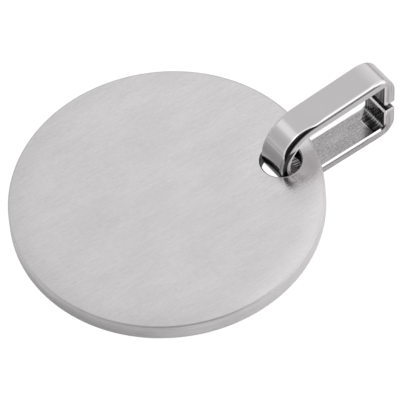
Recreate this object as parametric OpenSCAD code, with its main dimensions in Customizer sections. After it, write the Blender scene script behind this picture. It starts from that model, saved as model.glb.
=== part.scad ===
// Round tag pendant: a flat disc with one hole, and a tall bail of bent flat band that passes through
// the hole. It lies on a flat surface: the bail stands on its lower arm, and the disc leans from its far
// rim up onto the bend of the bail. X runs along the bail, away from the disc, and Z is up. The origin is
// on the surface, under the middle of the whole pendant.

/* [Disc] */
// Diameter of the disc
disc_d = 30; // [28:0.5:36]
// Thickness of the disc
disc_t = 1.85; // [1.5:0.05:1.9]
// Chamfer round both rims of the disc
rim_chamfer = 0.12; // [0.05:0.01:0.2]
// Diameter of the hole
hole_d = 3.95; // [3.9:0.05:4.4]
// Metal left between the hole and the rim
web = 1.5; // [1.3:0.05:1.7]
// Chamfer round both mouths of the hole
hole_chamfer = 0.12; // [0.05:0.01:0.2]

/* [Bail] */
// Length of the bail, over both ends
bail_len = 13.8; // [12:0.1:16]
// Height of the bail where its arms leave the bend
bend_h = 8.1; // [7.8:0.1:8.6]
// Angle by which the upper arm rises from the bend to the far wall
flare = 3.1; // [0:0.1:4]
// Width of the band
band_w = 3.2; // [2.8:0.05:3.25]
// Thickness of the band
band_t = 1.25; // [1:0.05:1.25]
// Outer radius of the corner at the top of the far wall
top_corner_r = 2.45; // [1.8:0.05:2.6]
// Outer radius of the corner at the foot of the far wall
foot_corner_r = 1.7; // [1.5:0.05:2.2]
// Rounding of the band's outer edges
edge_round = 0.3; // [0.2:0.01:0.35]
// Bevel of the band's inner edges
edge_bevel = 0.16; // [0.05:0.01:0.2]
// Gap between the band's two ends, in the far wall
butt_gap = 0.9; // [0.4:0.05:1.1]
// Distance by which the gap lies below the middle of the far wall
butt_low = 0.3; // [0:0.05:0.4]

/* [Lay] */
// Tilt of the disc, hole side up
tilt = 3.8; // [3.5:0.1:4.2]
// Angle by which the bail is swung aside from the line through the disc's centre and hole
swung = 18; // [0:1:25]
// Distance from the hole's centre back to the outside of the bend
bend_back = 1.3; // [1.1:0.05:1.35]

/* [Hidden] */

$fn = 96;
// Steps in which a rounded edge of the band is drawn
round_steps = 4;
// Length by which a cut passes the solid that it cuts
cut_margin = 1;
// Scale at which the turned parts of the band are joined
join_scale = 0.1;

disc_r = disc_d / 2;
half_t = disc_t / 2;
hole_r = hole_d / 2;
hole_at = disc_r - web - hole_r;
// Height of the disc's middle, at which its lower rim just touches the surface
disc_z = (disc_r - rim_chamfer) * sin(tilt) + half_t * cos(tilt);

// Outer radius of the bend, and the directions from its centre in which the bend ends
bend_r = bend_h / 2;
up = 90 + flare;
down = 270;

// Hole and bend as seen from above. The origin lies half-way between the ends of the pendant along X.
hole_reach = hole_at * cos(tilt);
bend_from_disc = hole_reach * cos(swung) - bend_back;
disc_x = (disc_r - bend_from_disc - bail_len) / 2;
bend_x = disc_x + bend_from_disc;
bail_y = -hole_reach * sin(swung);

// The loop's outline in the bail's own frame, whose origin is the centre of the bend
wall_out = bail_len - bend_r;
lower_len = wall_out - foot_corner_r;
foot_z = foot_corner_r - bend_r;
top_x = wall_out - top_corner_r;
top_z = (bend_r - top_corner_r + top_x * sin(flare)) / cos(flare);
upper_len = top_x * cos(flare) + top_z * sin(flare);

// Height of the middle of the gap
butt_z = (top_z + top_corner_r - bend_r) / 2 - butt_low;

// Points of a quarter turn from angle a to angle b
function quarter(cx, cy, r, a, b) = [
    for (i = [0 : round_steps]) let (t = a + (b - a) * i / round_steps) [cx + r * cos(t), cy + r * sin(t)]
];

// Outer edge of the band's section: both edges rounded, x is the distance from the turn's centre
function outer_edge(r) = concat(
    quarter(r - edge_round, edge_round - band_w / 2, edge_round, -90, 0),
    quarter(r - edge_round, band_w / 2 - edge_round, edge_round, 0, 90)
);

// Section of the band, with its inner edges bevelled
module band_section(r) {
    inner = r - band_t;
    polygon(concat(
        outer_edge(r),
        [[inner + edge_bevel, band_w / 2], [inner, band_w / 2 - edge_bevel]],
        [[inner, edge_bevel - band_w / 2], [inner + edge_bevel, -band_w / 2]]
    ));
}

// Section of a corner that is solid up to its centre
module full_section(r) {
    polygon(concat(outer_edge(r), [[0, band_w / 2], [0, -band_w / 2]]));
}

// Section of the space inside the loop, which the bevels widen towards both sides
module space_section(r) {
    inner = r - band_t;
    mouth = inner + edge_bevel + cut_margin;
    side = band_w / 2 + cut_margin;
    polygon([
        [-cut_margin, -side], [mouth, -side], [inner, edge_bevel - band_w / 2],
        [inner, band_w / 2 - edge_bevel], [mouth, side], [-cut_margin, side]
    ]);
}

// Joins its children while they are small, so that edges which meet after a turn count as the same edge
module joined() {
    scale(1 / join_scale) for (i = [0 : $children - 1]) scale(join_scale) children(i);
}

// The band is followed from the bend to each of its ends. In each step x points out of the loop from the
// centre of a turn and z points along the band, and the children go where the step ends.
module straight(len, r) {
    linear_extrude(len) band_section(r);
    translate([0, 0, len]) children();
}

module round_corner(angle, r) {
    rotate([90, 0, 0]) rotate_extrude(angle = angle) band_section(r);
    rotate([0, -angle, 0]) children();
}

// Corner with a round outside and a sharp inside
module sharp_corner(angle, r) {
    difference() {
        rotate([90, 0, 0]) rotate_extrude(angle = angle) full_section(r);
        intersection() {
            translate([0, 0, -cut_margin]) linear_extrude(2 * r) space_section(r);
            rotate([0, -angle, 0]) translate([0, 0, -2 * r]) linear_extrude(2 * r + cut_margin) space_section(r);
        }
    }
    rotate([0, -angle, 0]) children();
}

// End of the band: rounded outside, and bevelled inside and at its sides
module lip(len, r) {
    side = band_w / 2;
    intersection() {
        linear_extrude(len) band_section(r);
        translate([r - band_t, band_w, 0]) rotate([90, 0, 0]) linear_extrude(2 * band_w) polygon(concat(
            [[0, 0], [band_t, 0]],
            quarter(band_t - edge_round, len - edge_round, edge_round, 0, 90),
            [[edge_bevel, len], [0, len - edge_bevel]]
        ));
        rotate([90, 0, 90]) linear_extrude(2 * r) polygon([
            [-side, 0], [side, 0], [side, len - edge_bevel], [side - edge_bevel, len],
            [edge_bevel - side, len], [-side, len - edge_bevel]
        ]);
    }
}

module disc() {
    color([0.80, 0.80, 0.80])
    translate([disc_x, 0, disc_z]) rotate([0, 0, -swung]) rotate([0, -tilt, 0])
    difference() {
        rotate_extrude() polygon([
            [0, -half_t], [disc_r - rim_chamfer, -half_t], [disc_r, rim_chamfer - half_t],
            [disc_r, half_t - rim_chamfer], [disc_r - rim_chamfer, half_t], [0, half_t]
        ]);
        translate([hole_at, 0, 0]) cylinder(h = disc_t + cut_margin, r = hole_r, center = true);
        for (face = [0, 1])
            mirror([0, 0, face]) translate([hole_at, 0, -half_t])
                cylinder(h = hole_chamfer, r1 = hole_r + hole_chamfer, r2 = hole_r);
    }
}

module bail() {
    color([0.72, 0.72, 0.73])
    translate([bend_x + bend_r, bail_y, bend_r]) joined() {
        rotate([90, 0, 0]) rotate_extrude(start = up, angle = down - up) band_section(bend_r);
        rotate([0, -down, 0])
            straight(lower_len, bend_r)
            translate([bend_r - foot_corner_r, 0, 0])
            round_corner(90, foot_corner_r)
            lip(butt_z - butt_gap / 2 - foot_z, foot_corner_r);
        rotate([0, -up, 0]) mirror([0, 0, 1])
            straight(upper_len, bend_r)
            translate([bend_r - top_corner_r, 0, 0])
            sharp_corner(up, top_corner_r)
            lip(top_z - butt_z - butt_gap / 2, top_corner_r);
    }
}

disc();
bail();
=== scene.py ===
"""Looks of the round tag pendant: a brushed steel disc and a polished bail, lying on a pale floor."""

import math

import bpy
from mathutils import Matrix, Vector


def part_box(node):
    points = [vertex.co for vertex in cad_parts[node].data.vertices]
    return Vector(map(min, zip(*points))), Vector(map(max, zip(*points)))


MM = 0.001

# Sizes that the part's source gives
DISC_R = 15.0 * MM
DISC_T = 1.85 * MM
RIM_CHAMFER = 0.12 * MM
HOLE_R = 1.975 * MM
HOLE_AT = 11.525 * MM
TILT = math.radians(3.8)
SWUNG = math.radians(18.0)
BAND_T = 1.25 * MM
BEND_R = 4.05 * MM
EDGE_BEVEL = 0.16 * MM

# Camera: its direction from the object, its distance, and the width of the view at that distance
VIEW_AZIMUTH = math.radians(-37.74)
VIEW_ELEVATION = math.radians(52.5)
VIEW_DISTANCE = 1.0
VIEW_WIDTH = 37.68 * MM
# Way in the view from the middle of the disc's face to the point that the camera looks at
AIM_RIGHT = 3.158 * MM
AIM_UP = -0.217 * MM
# Width of the picture behind the lens in millimetres, and the distances between which the camera sees
SENSOR_WIDTH = 36.0
VIEW_NEAREST, VIEW_FARTHEST = 0.05, 10.0

# Red and blue of each steel, as shares of its green
DISC_TINT = (1.022, 1.011)
BAIL_TINT = (1.034, 1.010)

# Disc. Length, width and height of its grains: three widths of brushed line, turned lines and clouds
BRUSH_ANGLE = math.radians(-5.0)
FINE_LINES = (0.55 * MM, 0.10 * MM, 1.0)
MID_LINES = (2.0 * MM, 0.28 * MM, 1.0)
BROAD_LINES = (6.0 * MM, 1.6 * MM, 1.0)
TURNED_LINES = (3.0 * MM, 3.0 * MM, 0.14 * MM)
DISC_CLOUD = (4.0 * MM, 4.0 * MM, 4.0 * MM)
BRUSH_DEPTH = 0.010 * MM
# Lightness of the disc's steel, over which its brushing and its painted sheen and shade range. A painted
# sheen lightens the chamfer on one side, and painted shade darkens the wall of the hole
BRUSH_AND_SHADE_DARK, BRUSH_AND_SHEEN_LIGHT = 0.43, 0.978
CHAMFER_DULL, CHAMFER_SHEEN_LIGHT = 0.68, 0.84
MOUTH_LIGHT, BORE_SHADE = 0.94, 0.08
# Directions in the disc's own frame: where the painted sheen on the margin is brightest, where painted
# shade dulls the rim's wall most, and where a painted shadow darkens its foot most
SHEEN_SIDE = math.radians(-40.0)
WALL_SHADE_SIDE = math.radians(227.0)
FOOT_SHADOW_SIDE = math.radians(205.0)
# Width of the zone along the disc's rim where the painted sheen and painted shade fall
MARGIN = 2.5 * MM
# Distances from the rim, and from the wall of the hole, between which a zone fades
RIM_ZONE = (2.2 * RIM_CHAMFER, 0.8 * RIM_CHAMFER)
MOUTH_ZONE = (0.8 * RIM_CHAMFER, 2.0 * RIM_CHAMFER)
BORE_ZONE = (0.1 * MM, 0.4 * MM)
SMOOTH_ZONE = (1.0 * MM, 3.0 * MM)
# Roughness of the disc: on the face, before its lines and clouds add to it, round the hole, and on the
# chamfers
BRUSH_ROUGH, SMOOTH_ROUGH, CHAMFER_ROUGH = 0.24, 0.19, 0.75

# Bail. Length, width and height of its grains
BAND_LINES = (5.0 * MM, 0.06 * MM, 5.0 * MM)
STREAKS = (3.0 * MM, 0.13 * MM, 3.0 * MM)
SIDE_LINES = (1.5 * MM, 1.0, 0.07 * MM)
WALL_LINES = (0.22 * MM, 1.0, 4.0 * MM)
ROLLED_GRAIN = (0.30 * MM, 0.07 * MM, 0.30 * MM)
BAIL_CLOUD = (2.5 * MM, 2.5 * MM, 2.5 * MM)
POLISH_DEPTH = 0.0015 * MM
# Lightness of the bail's steel where it is polished, and where the polish is dull or painted shade darkens
# it
POLISH_DARK, POLISH_LIGHT = 0.54, 0.80
DULL_AND_SHADE = 0.34
# Inside the loop: as rolled, painted light under the upper arm, and painted shade on the far wall and at
# the lower bend, with painted glints by the bend and at the far end
ROLLED_DARK, ROLLED_LIGHT, UNDER_PAINTED_LIGHT = 0.26, 0.54, 0.90
INSIDE_SHADE_DARK, GLINT_NEAR, GLINT_FAR = 0.05, 0.70, 0.24
# Painted shade on the cut ends, in the hole and in the dark line beside the inner edge, then the painted
# highlight on the inner edges, on the line before the far wall and on the top corner
CUT_DARK, CUT_LIGHT = 0.07, 0.22
HOLE_SHADE, EDGE_SHADE_DARK = 0.012, 0.05
PAINTED_HIGHLIGHT = 0.94
# Along the near rounding, all painted: the dark reflection before its bright line, that highlight line, and
# the shade of the dark line at the side
SHADED_DARK, START_LIGHT, LINE_DARK = 0.03, 0.96, 0.06
# Roughness of the bail before its lines and grains add to it, and that of its edges under the painted
# highlight
POLISH_ROUGH, ROLLED_ROUGH = 0.05, 0.08
EDGE_HIGHLIGHT_ROUGH, HOLE_EDGE_HIGHLIGHT_ROUGH = 0.45, 0.80
# Heights up to which painted shade darkens the bend where it has run in the disc's hole, on its outside and
# at its sides
RUN_TOP = 4.0 * MM
SIDE_RUN_TOP = 6.2 * MM
# Heights between which a look fades in or out
RUN_FOOT = (1.2 * MM, 1.8 * MM)
BEND_SHADE_HEIGHTS = (4.6 * MM, 6.4 * MM)
IN_HOLE_TOP = (4.8 * MM, 6.0 * MM)
SWELL_TOP = (5.2 * MM, 6.8 * MM)
LOW_ARM_TOP = (1.6 * MM, 2.2 * MM)
LIP_FOOT = (2.6 * MM, 3.2 * MM)
# Distances before the centre of the bend at which its painted shade, and the painted shade in the hole,
# start to fade toward the arms
BEND_SIDE = 1.0 * MM
HOLE_SIDE = 0.6 * MM
# Half the widths over which the painted shade in the hole and the painted dark reflection on the rounding
# end
RUN_SOFT = 0.06 * MM
SHADE_SOFT = 0.03 * MM
# Distances from the outer edge of the inner bevel at which the painted highlight line, and the painted dark
# line beside it, start, are full, start to fade and end. The highlight line is narrower on the lower arm
# and wider in the hole
EDGE_HIGHLIGHT_LINE = (-0.05 * MM, 0.02 * MM, 0.12 * MM, 0.22 * MM)
EDGE_SHADE_LINE = (0.06 * MM, 0.11 * MM, 0.16 * MM, 0.22 * MM)
ARM_NARROWER = 0.12 * MM
HOLE_WIDER = 0.20 * MM
# Distances from the bail's far end between which a look fades in or out
WALL_START = (1.5 * MM, 1.2 * MM)
START_END = (1.5 * MM, 0.9 * MM)
LINE_END = (2.2 * MM, 1.6 * MM)
WIDENING = (3.5 * MM, 1.8 * MM)
GLOW_RISE = (3.2 * MM, 1.3 * MM)
GLOW_END = (1.50 * MM, 1.38 * MM)
CUT_START = (BAND_T + 0.05 * MM, BAND_T - 0.05 * MM)
# Distances above and below the middle of the loop between which a level face stops being a cut end
CUT_REACH = (0.9 * MM, 1.1 * MM)
# Painted highlight line before the far wall, where the painted shade inside starts: its distance from the
# far end, how much sooner it lies on the near part of the band, and the distances from the band's far edge
# between which it turns, and between which it ends
HIGHLIGHT_LINE_AT = 1.4 * MM
HIGHLIGHT_LINE_LEAD = 1.15 * MM
HIGHLIGHT_LINE_TURN = (1.35 * MM, 0.15 * MM)
HIGHLIGHT_LINE_END = (1.35 * MM, 1.0 * MM)
HIGHLIGHT_LINE_HALF = 0.07 * MM
# Widths of the painted highlight line along the near rounding, at the bend and past it, how much wider it
# is at the top corner, and the width of the painted dark reflection that swells before it on the bend
START_WIDTHS = (0.06 * MM, 0.20 * MM)
CORNER_WIDER = 0.10 * MM
SWELL_WIDTH = 0.42 * MM
# Width over which the bright line ends
START_SOFT = 0.16 * MM

# Stage: half its width, how far it lies under the object, and the distance from the origin to the table's
# front edge with the way that this edge faces
FLOOR_HALF = 2.0
GROUND_DROP = 0.01 * MM
TABLE_DROP = 0.02 * MM
TABLE_FRONT = 27.0 * MM
FRONT_TURN = math.radians(-20.0)
# Places along the table between which it changes from its far brightness to its near one
TABLE_FADE = (-60.0 * MM, -25.0 * MM)

# Brightness of the room, and its zones. Each zone has the azimuth and elevation of its middle, the cosines
# of the angles from there at which it starts and is full, and its brightness
ROOM_LEVEL = 0.86
ROOM_ZONES = (
    (-40, 40, 0.70, 0.88, 0.25),
    (-172, 20, 0.72, 0.92, 0.45),
    (136, 46, 0.972, 0.999, 1.2),
    (-110, 12, 0.68, 0.73, 0.28),
)
# Dark band along the horizon and dark low part, both at the back: the direction and cosines and the
# brightness of each, and the sines of the elevations between which they start and end
HORIZON_ZONE, HORIZON_LEVEL = (36, 0, 0.7, 0.85), 0.30
HORIZON_START, HORIZON_END = (-0.02, 0.0), (0.02, 0.08)
LOW_BACK_ZONE, LOW_BACK_LEVEL = (88, 5, 0.82, 0.92), 0.25
LOW_BACK_END = (0.15, 0.28)

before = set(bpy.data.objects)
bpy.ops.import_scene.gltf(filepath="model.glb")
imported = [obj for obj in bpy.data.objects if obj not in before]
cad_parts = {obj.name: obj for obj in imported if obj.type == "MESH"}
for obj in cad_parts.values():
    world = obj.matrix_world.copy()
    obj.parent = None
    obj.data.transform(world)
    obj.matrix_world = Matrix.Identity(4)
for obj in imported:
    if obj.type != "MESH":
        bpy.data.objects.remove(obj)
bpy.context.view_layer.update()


# Node trees

class Tree:
    """The nodes of a material or world, made and linked in one call each."""

    def __init__(self, owner):
        owner.use_nodes = True
        self.owner = owner
        self.nodes = owner.node_tree.nodes
        self.links = owner.node_tree.links
        self.nodes.clear()

    def put(self, socket, value):
        if isinstance(value, bpy.types.NodeSocket):
            self.links.new(value, socket)
        else:
            socket.default_value = value

    def add(self, kind, settings=None, **inputs):
        """Adds a node. An input is named by its name with _ for a space, or by i and its number."""
        made = self.nodes.new(kind)
        for key, value in (settings or {}).items():
            setattr(made, key, value)
        for key, value in inputs.items():
            at = int(key[1:]) if key[0] == "i" and key[1:].isdigit() else key.replace("_", " ")
            self.put(made.inputs[at], value)
        return made

    def math(self, operation, a, b=0.0):
        return self.add("ShaderNodeMath", {"operation": operation}, i0=a, i1=b).outputs[0]

    def size(self, a):
        return self.math("ABSOLUTE", a)

    def less(self, a, b):
        return self.math("SUBTRACT", a, b)

    def plus(self, a, b):
        return self.math("ADD", a, b)

    def times(self, first, *others):
        for other in others:
            first = self.math("MULTIPLY", first, other)
        return first

    def weighted(self, first, *others):
        """Sum of the terms, each a row of values that are multiplied."""
        total = self.times(*first)
        for other in others:
            total = self.plus(total, self.times(*other))
        return total

    def length(self, a, b):
        return self.math("SQRT", self.weighted((a, a), (b, b)))

    def ramp(self, value, low, high, to_low=0.0, to_high=1.0):
        """Smooth step of value from low to high."""
        made = self.add("ShaderNodeMapRange", {"interpolation_type": "SMOOTHSTEP"}, Value=value,
                        From_Min=low, From_Max=high, To_Min=to_low, To_Max=to_high)
        return made.outputs["Result"]

    def fall(self, value, low, high):
        """Smooth step down, from 1 at low to 0 at high."""
        return self.ramp(value, low, high, 1.0, 0.0)

    def mix(self, factor, a, b):
        made = self.add("ShaderNodeMix", {"data_type": "FLOAT"}, i0=factor, i2=a, i3=b)
        return made.outputs[0]

    def mix_color(self, factor, a, b):
        made = self.add("ShaderNodeMix", {"data_type": "RGBA"}, i0=factor, i6=a, i7=b)
        return made.outputs[2]

    def painted(self, color, *coats):
        """The color under coats, each with its mask, how much it covers and its own color."""
        for mask, cover, coat in coats:
            color = self.mix_color(self.times(mask, cover), color, coat)
        return color

    def placed(self, vector, location=(0, 0, 0), rotation=(0, 0, 0)):
        """The vector in a frame that stands at location and is turned by rotation."""
        made = self.add("ShaderNodeMapping", {"vector_type": "TEXTURE"}, Vector=vector,
                        Location=location, Rotation=rotation)
        return made.outputs[0]

    def stretched(self, vector, sizes, detail=2.0, roughness=0.5, seed=0.0):
        """Noise from 0 to 1 whose grains have these sizes in metres along the three axes."""
        scaled = self.add("ShaderNodeMapping", {"vector_type": "POINT"}, Vector=vector,
                          Location=(seed, seed * 1.7, seed * 0.6), Scale=tuple(1.0 / s for s in sizes))
        made = self.add("ShaderNodeTexNoise", {"noise_dimensions": "3D"}, Vector=scaled.outputs[0],
                        Scale=1.0, Detail=detail, Roughness=roughness)
        return made.outputs["Fac"]

    def split(self, vector):
        return self.add("ShaderNodeSeparateXYZ", Vector=vector).outputs

    def shade(self, color, roughness, height, bump):
        """Metal with a bump of the given depth in metres."""
        bumped = self.add("ShaderNodeBump", Height=height, Strength=1.0, Distance=bump)
        metal = self.add("ShaderNodeBsdfPrincipled", Base_Color=color, Metallic=1.0, Roughness=roughness,
                         Normal=bumped.outputs[0])
        self.add("ShaderNodeOutputMaterial", Surface=metal.outputs[0])
        return self.owner


def metal_color(value, red=1.0, blue=1.0):
    return (value * red, value, value * blue, 1.0)


def disc_steel(value):
    return metal_color(value, *DISC_TINT)


def bail_steel(value):
    return metal_color(value, *BAIL_TINT)


def disc_frame():
    """Centre of the disc, and the rotation from level that it lies in."""
    low, high = (Vector(c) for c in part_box("disc"))
    return (low + high) / 2, Matrix.Rotation(-SWUNG, 3, "Z") @ Matrix.Rotation(-TILT, 3, "Y")


def brushed_steel():
    t = Tree(bpy.data.materials.new("brushed_steel"))
    centre, lie = disc_frame()
    turn = lie.to_euler()
    coords = t.add("ShaderNodeTexCoord").outputs
    place = t.placed(coords["Object"], centre, turn)
    normal = t.placed(coords["Normal"], rotation=turn)
    x, y, z = t.split(place)
    flat = t.ramp(t.size(t.split(normal)[2]), 0.5, 0.9)
    upright = t.less(1.0, flat)
    rho = t.length(x, y)
    to_hole = t.length(t.less(x, HOLE_AT), y)

    def toward(angle, start, full):
        """Grows over the disc toward the rim at the angle. Start and full are shares of its radius."""
        way = t.split(t.placed(place, rotation=(0, 0, angle)))[0]
        return t.ramp(way, start * DISC_R, full * DISC_R)

    def round_hole(zone):
        return t.fall(to_hole, HOLE_R + zone[0], HOLE_R + zone[1])

    # Straight brushing over both faces, in three widths of line
    brushing = BRUSH_ANGLE + SWUNG
    along = t.placed(place, rotation=(0, 0, brushing))
    fine = t.stretched(along, FINE_LINES, roughness=0.7)
    mid = t.stretched(along, MID_LINES, seed=3.0)
    broad = t.stretched(along, BROAD_LINES, seed=7.0)
    # Turned lines round the wall of the disc and of the hole
    turned = t.stretched(place, TURNED_LINES, detail=3.0, seed=5.0)
    cloud = t.stretched(place, DISC_CLOUD, detail=3.0, seed=11.0)
    lines = t.mix(flat, turned, t.weighted((fine, 0.8), (mid, 0.4)))
    # Painted sheen rises gently over the face toward the hole. Painted shade dulls the margin away from the
    # hole, and painted sheen brightens it at one side. On the wall painted light brightens the side toward
    # the hole, painted shade dulls one side, and a painted shadow darkens the foot of another
    rise = toward(brushing, -1.0, 1.0)
    margin = t.ramp(rho, DISC_R - MARGIN, DISC_R)
    sheen = toward(SHEEN_SIDE, 0.5, 0.95)
    tone = t.weighted(
        (lines, 0.50), (broad, 0.14), (cloud, 0.14), (rise, 0.10),
        (margin, t.less(1.0, rise), -0.10),
        (toward(brushing, -0.5, 1.0), upright, 0.20),
        (toward(WALL_SHADE_SIDE, 0.84, 1.0), upright, -0.18),
        (toward(FOOT_SHADOW_SIDE, 0.80, 1.0), upright, t.ramp(z, -DISC_T / 2, DISC_T / 2, -0.28, 0.10)),
        (sheen, margin, flat, 0.22),
    )
    # The rim's chamfer is dull from handling, and a painted sheen lightens it on one side. The hole's is
    # rubbed bright, and painted shade darkens the wall of the hole
    rim = t.times(t.ramp(rho, DISC_R - RIM_ZONE[0], DISC_R - RIM_ZONE[1]), flat)
    mouth = t.times(round_hole(MOUTH_ZONE), flat)
    bore = t.times(round_hole(BORE_ZONE), upright)
    color = t.painted(
        t.mix_color(tone, disc_steel(BRUSH_AND_SHADE_DARK), disc_steel(BRUSH_AND_SHEEN_LIGHT)),
        (rim, 1.0, t.mix_color(sheen, disc_steel(CHAMFER_DULL), disc_steel(CHAMFER_SHEEN_LIGHT))),
        (mouth, 1.0, disc_steel(MOUTH_LIGHT)),
        (bore, 1.0, disc_steel(BORE_SHADE)),
    )
    # The face is rubbed smoother round the hole
    rough = t.plus(t.weighted((mid, 0.16), (cloud, 0.06)), BRUSH_ROUGH)
    rough = t.mix(t.times(round_hole(SMOOTH_ZONE), flat), rough, SMOOTH_ROUGH)
    rough = t.mix(t.math("MAXIMUM", rim, mouth), rough, CHAMFER_ROUGH)
    return t.shade(color, rough, lines, BRUSH_DEPTH)


def polished_steel():
    t = Tree(bpy.data.materials.new("polished_steel"))
    low, high = (Vector(c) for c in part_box("bail"))
    coords = t.add("ShaderNodeTexCoord").outputs
    place = coords["Object"]
    x, y, z = t.split(place)
    nx, sideways, nz = t.split(coords["Normal"])
    ny = t.size(sideways)
    side = t.ramp(ny, 0.5, 0.9)
    # The spine runs along the middle of the loop, and across is the way from it to the surface
    first, last = low.x + BEND_R, high.x - BEND_R
    across_x = t.less(x, t.math("MINIMUM", t.math("MAXIMUM", x, first), last))
    across_z = t.less(z, BEND_R)
    facing = t.weighted((nx, across_x), (nz, across_z))
    far = t.length(across_x, across_z)
    bend_inside = BEND_R - BAND_T
    inner = t.fall(facing, -0.90 * bend_inside, -0.75 * bend_inside)

    def from_bend(start, end):
        """Fades along the bail, between two distances from the centre of the bend."""
        return t.fall(x, first + start, first + end)

    def toward_end(zone, to_low=0.0, to_high=1.0):
        """Changes along the bail, between two distances from its far end."""
        return t.ramp(x, high.x - zone[0], high.x - zone[1], to_low, to_high)

    # Lines that run along the band, and finer ones across its sides
    along = t.stretched(place, BAND_LINES, detail=3.0)
    streak = t.stretched(place, STREAKS, seed=6.0)
    cross = t.stretched(place, SIDE_LINES, seed=4.0)
    cloud = t.stretched(place, BAIL_CLOUD, detail=3.0, seed=9.0)
    grain = t.stretched(place, ROLLED_GRAIN, roughness=0.8, seed=13.0)
    lines = t.mix(side, along, cross)
    polish = t.mix_color(t.weighted((lines, 0.12), (cloud, 0.14)), bail_steel(POLISH_DARK),
                         bail_steel(POLISH_LIGHT))
    # Painted shade darkens the bend toward the hole
    bend_shade = t.times(t.fall(z, *BEND_SHADE_HEIGHTS), from_bend(-BEND_SIDE, 0.0))
    # Polishing lines run up the sides of the far wall
    upright = t.stretched(place, WALL_LINES, detail=1.0, seed=17.0)
    upright = t.times(t.ramp(upright, 0.42, 0.62), side, toward_end(WALL_START))

    # Inside the loop the metal is as rolled, with painted light under the upper arm and painted shade on
    # the far wall and at the lower bend, streaked with painted glints. A painted highlight line lies before
    # the far wall
    past_highlight_line = t.plus(t.less(x, high.x - HIGHLIGHT_LINE_AT),
                         t.ramp(y, high.y - HIGHLIGHT_LINE_TURN[0], high.y - HIGHLIGHT_LINE_TURN[1], HIGHLIGHT_LINE_LEAD, 0.0))
    lower_bend = t.times(from_bend(-BEND_SIDE, 0.5 * MM), t.fall(z, BEND_R, BEND_R + 1.5 * MM))
    inside_shade = t.math("MAXIMUM", t.ramp(past_highlight_line, -0.15 * MM, 0.05 * MM), lower_bend)
    highlight_line = t.times(t.ramp(past_highlight_line, -HIGHLIGHT_LINE_HALF, 0.0), t.fall(past_highlight_line, 0.0, HIGHLIGHT_LINE_HALF),
                     t.fall(y, high.y - HIGHLIGHT_LINE_END[0], high.y - HIGHLIGHT_LINE_END[1]))
    under = t.times(t.ramp(z, BEND_R, BEND_R + 2.0 * MM), t.fall(x, last - 1.0 * MM, last))
    rolled = t.weighted((grain, 0.7), (streak, 0.3))
    glint = t.mix_color(t.ramp(x, first, last), bail_steel(GLINT_NEAR), bail_steel(GLINT_FAR))
    raw_and_painted = t.painted(
        t.mix_color(t.ramp(rolled, 0.36, 0.62), bail_steel(ROLLED_DARK), bail_steel(ROLLED_LIGHT)),
        (under, 0.45, bail_steel(UNDER_PAINTED_LIGHT)),
        (inside_shade, 1.0, t.mix_color(t.ramp(streak, 0.50, 0.59), bail_steel(INSIDE_SHADE_DARK), glint)),
        (highlight_line, 1.0, bail_steel(PAINTED_HIGHLIGHT)),
    )

    # Painted shade darkens the band where it runs in the hole, higher up at its sides
    below = t.less(t.mix(side, RUN_TOP, SIDE_RUN_TOP), z)
    sunk_shade = t.times(t.ramp(below, -RUN_SOFT, RUN_SOFT), t.ramp(z, *RUN_FOOT), from_bend(-HOLE_SIDE, 0.0))

    # A painted highlight lines the edge between side and inside, and the inner top edge of the lower lip.
    # On the lower arm a painted dark line runs beside it
    edge = bend_inside + EDGE_BEVEL
    in_hole = t.times(from_bend(-HOLE_SIDE, HOLE_SIDE), t.fall(z, *IN_HOLE_TOP))
    low_arm = t.fall(z, *LOW_ARM_TOP)
    outer = t.weighted((far, 1.0), (low_arm, ARM_NARROWER), (in_hole, -HOLE_WIDER))

    def beside_edge(far_out, line):
        start, full, fading, end = (edge + distance for distance in line)
        return t.times(t.ramp(far, start, full), t.fall(far_out, fading, end), side)

    edge_highlight = beside_edge(outer, EDGE_HIGHLIGHT_LINE)
    edge_shade = t.times(beside_edge(far, EDGE_SHADE_LINE), low_arm)
    lip = t.times(t.fall(nx, -0.6, -0.5), t.ramp(nz, 0.6, 0.7), t.ramp(x, last, last + 1.0 * MM),
                  t.ramp(z, *LIP_FOOT, 0.3, 1.0))
    edge_highlight = t.math("MAXIMUM", edge_highlight, lip)

    # Painted shade darkens the band's two cut ends, mottled by the grain
    cut = t.times(t.ramp(t.size(nz), 0.85, 0.95), t.fall(t.size(across_z), *CUT_REACH),
                  toward_end(CUT_START))
    cut_shade = t.mix_color(t.ramp(grain, 0.45, 0.65), bail_steel(CUT_DARK), bail_steel(CUT_LIGHT))

    # Along the near rounding lie, all painted, from the side inward: a dark line of shade, on the bend a
    # dark reflection that swells, and a highlight line
    outside = t.times(t.fall(ny, 0.88, 0.94), t.less(1.0, inner))
    swell = t.times(t.ramp(x, first - 2.2 * MM, first + 1.0 * MM, SWELL_WIDTH, 0.0), t.ramp(z, *SWELL_TOP))
    inward = t.less(t.less(y, low.y), swell)
    shaded = t.times(t.fall(inward, -SHADE_SOFT, SHADE_SOFT), outside)
    past = t.less(inward, t.ramp(x, first, first + 1.5 * MM, *START_WIDTHS))
    past = t.less(past, toward_end(WIDENING, 0.0, CORNER_WIDER))
    start = t.times(t.ramp(inward, -0.02 * MM, 0.04 * MM), t.fall(past, 0.0, START_SOFT),
                    toward_end(START_END, 1.0, 0.0), outside)
    line = t.times(t.ramp(ny, 0.960, 0.975), t.fall(ny, 0.982, 0.992), toward_end(LINE_END, 1.0, 0.0))
    # Painted highlight: the top corner catches the light, up to a dull line across it
    caught = t.times(toward_end(GLOW_RISE), toward_end(GLOW_END, 1.0, 0.0),
                     t.ramp(z, BEND_R, 2.0 * BEND_R - 1.5 * MM), outside)

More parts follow.
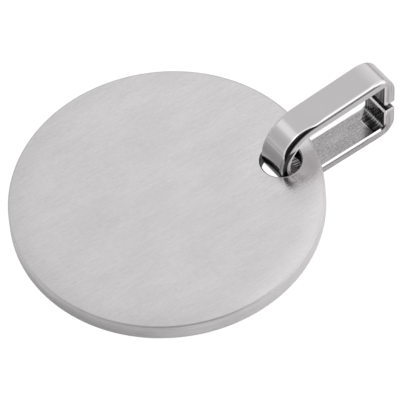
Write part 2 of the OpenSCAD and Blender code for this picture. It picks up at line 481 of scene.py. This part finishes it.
    color = t.painted(
        polish,
        (bend_shade, 0.8, bail_steel(DULL_AND_SHADE)),
        (upright, 0.7, bail_steel(DULL_AND_SHADE)),
        (inner, 1.0, raw_and_painted),
        (sunk_shade, 1.0, bail_steel(HOLE_SHADE)),
        (edge_shade, 1.0, bail_steel(EDGE_SHADE_DARK)),
        (edge_highlight, 1.0, bail_steel(PAINTED_HIGHLIGHT)),
        (cut, 1.0, cut_shade),
        (caught, 0.5, bail_steel(PAINTED_HIGHLIGHT)),
        (shaded, 1.0, bail_steel(SHADED_DARK)),
        (start, 1.0, bail_steel(START_LIGHT)),
        (line, 0.9, bail_steel(LINE_DARK)),
    )
    rough = t.plus(t.weighted((cloud, 0.07), (lines, 0.04)), POLISH_ROUGH)
    rough = t.mix(inner, rough, t.plus(t.times(rolled, 0.12), ROLLED_ROUGH))
    rough = t.mix(edge_highlight, rough, t.mix(in_hole, EDGE_HIGHLIGHT_ROUGH, HOLE_EDGE_HIGHLIGHT_ROUGH))
    height = t.mix(inner, lines, t.times(rolled, 3.0))
    return t.shade(color, rough, height, POLISH_DEPTH)


def dress(name, material):
    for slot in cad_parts[name].material_slots:
        slot.material = material


dress("disc", brushed_steel())
dress("bail", polished_steel())


# Floor, light and camera

def direction(azimuth, elevation):
    """Unit vector. Azimuth is counter-clockwise from +X, seen from above, in degrees."""
    a, e = math.radians(azimuth), math.radians(elevation)
    return Vector((math.cos(a) * math.cos(e), math.sin(a) * math.cos(e), math.sin(e)))


def plane(name, front, z, glow, albedo, far_albedo):
    """Level sheet that shines a little and scatters light. It ends at front, on the camera's side."""
    half = FLOOR_HALF
    mesh = bpy.data.meshes.new(name)
    corners = [(-half, -front, 0), (half, -front, 0), (half, half, 0), (-half, half, 0)]
    mesh.from_pydata(corners, [], [(0, 1, 2, 3)])
    made = bpy.data.objects.new(name, mesh)
    made.location.z = z
    made.rotation_euler.z = FRONT_TURN
    bpy.context.scene.collection.objects.link(made)
    t = Tree(bpy.data.materials.new(name + "_white"))
    fade = t.fall(t.split(t.add("ShaderNodeTexCoord").outputs["Object"])[0], *TABLE_FADE)
    scatter = t.add("ShaderNodeBsdfDiffuse", Roughness=0.5,
                    Color=t.mix_color(fade, metal_color(albedo), metal_color(far_albedo)))
    shine = t.add("ShaderNodeEmission", Color=metal_color(1.0), Strength=glow)
    both = t.add("ShaderNodeAddShader", i0=scatter.outputs[0], i1=shine.outputs[0])
    t.add("ShaderNodeOutputMaterial", Surface=both.outputs[0])
    mesh.materials.append(t.owner)
    return made


def floor():
    """The white ground behind the object, and under it the table that the metal mirrors."""
    ground = plane("ground", FLOOR_HALF, -GROUND_DROP, glow=0.97, albedo=0.12, far_albedo=0.12)
    for ray in ("diffuse", "glossy", "transmission", "volume_scatter", "shadow"):
        setattr(ground, "visible_" + ray, False)
    table = plane("table", TABLE_FRONT, -TABLE_DROP, glow=0.20, albedo=0.92, far_albedo=0.63)
    table.visible_camera = False


def softbox(name, azimuth, elevation, distance, size, radiance):
    """Area light that faces the object. The size is its width and its height."""
    toward = direction(azimuth, elevation)
    light = bpy.data.lights.new(name, "AREA")
    light.shape = "RECTANGLE"
    light.size, light.size_y = size
    light.energy = radiance * math.pi * size[0] * size[1]
    made = bpy.data.objects.new(name, light)
    made.location = toward * distance
    made.rotation_mode = "QUATERNION"
    made.rotation_quaternion = toward.to_track_quat("Z", "Y")
    made.visible_camera = False
    bpy.context.scene.collection.objects.link(made)


def room():
    """A light room: bright at the back, dim at the left and behind the light, darker round the camera."""
    t = Tree(bpy.data.worlds.new("room"))
    ray = t.add("ShaderNodeTexCoord").outputs["Generated"]

    def toward(azimuth, elevation, start, full):
        dot = t.add("ShaderNodeVectorMath", {"operation": "DOT_PRODUCT"}, i0=ray,
                    i1=direction(azimuth, elevation))
        return t.ramp(dot.outputs["Value"], start, full)

    level = ROOM_LEVEL
    for azimuth, elevation, start, full, brightness in ROOM_ZONES:
        level = t.mix(toward(azimuth, elevation, start, full), level, brightness)
    height = t.split(ray)[2]
    horizon = t.times(t.fall(height, *HORIZON_END), t.ramp(height, *HORIZON_START), toward(*HORIZON_ZONE))
    level = t.mix(horizon, level, HORIZON_LEVEL)
    low_back = t.times(t.fall(height, *LOW_BACK_END), toward(*LOW_BACK_ZONE))
    level = t.mix(low_back, level, LOW_BACK_LEVEL)
    back = t.add("ShaderNodeBackground", Color=metal_color(1.0), Strength=level)
    t.add("ShaderNodeOutputWorld", Surface=back.outputs[0])
    bpy.context.scene.world = t.owner


def camera():
    centre, lie = disc_frame()
    face = centre + lie @ Vector((0, 0, DISC_T / 2))
    a, e = VIEW_AZIMUTH, VIEW_ELEVATION
    back = Vector((math.sin(a) * math.cos(e), -math.cos(a) * math.cos(e), math.sin(e)))
    right = Vector((math.cos(a), math.sin(a), 0))
    up = back.cross(right)
    eye = face + VIEW_DISTANCE * back
    aim = face + AIM_RIGHT * right + AIM_UP * up
    data = bpy.data.cameras.new("camera")
    data.sensor_width = SENSOR_WIDTH
    data.lens = SENSOR_WIDTH * VIEW_DISTANCE / VIEW_WIDTH
    data.clip_start, data.clip_end = VIEW_NEAREST, VIEW_FARTHEST
    made = bpy.data.objects.new("camera", data)
    made.location = eye
    made.rotation_mode = "QUATERNION"
    made.rotation_quaternion = (eye - aim).to_track_quat("Z", "Y")
    bpy.context.scene.collection.objects.link(made)
    bpy.context.scene.camera = made


floor()
softbox("key", azimuth=-40, elevation=40, distance=0.6, size=(0.60, 0.70), radiance=0.88)
room()
camera()
bpy.context.scene.view_settings.view_transform = "Standard"
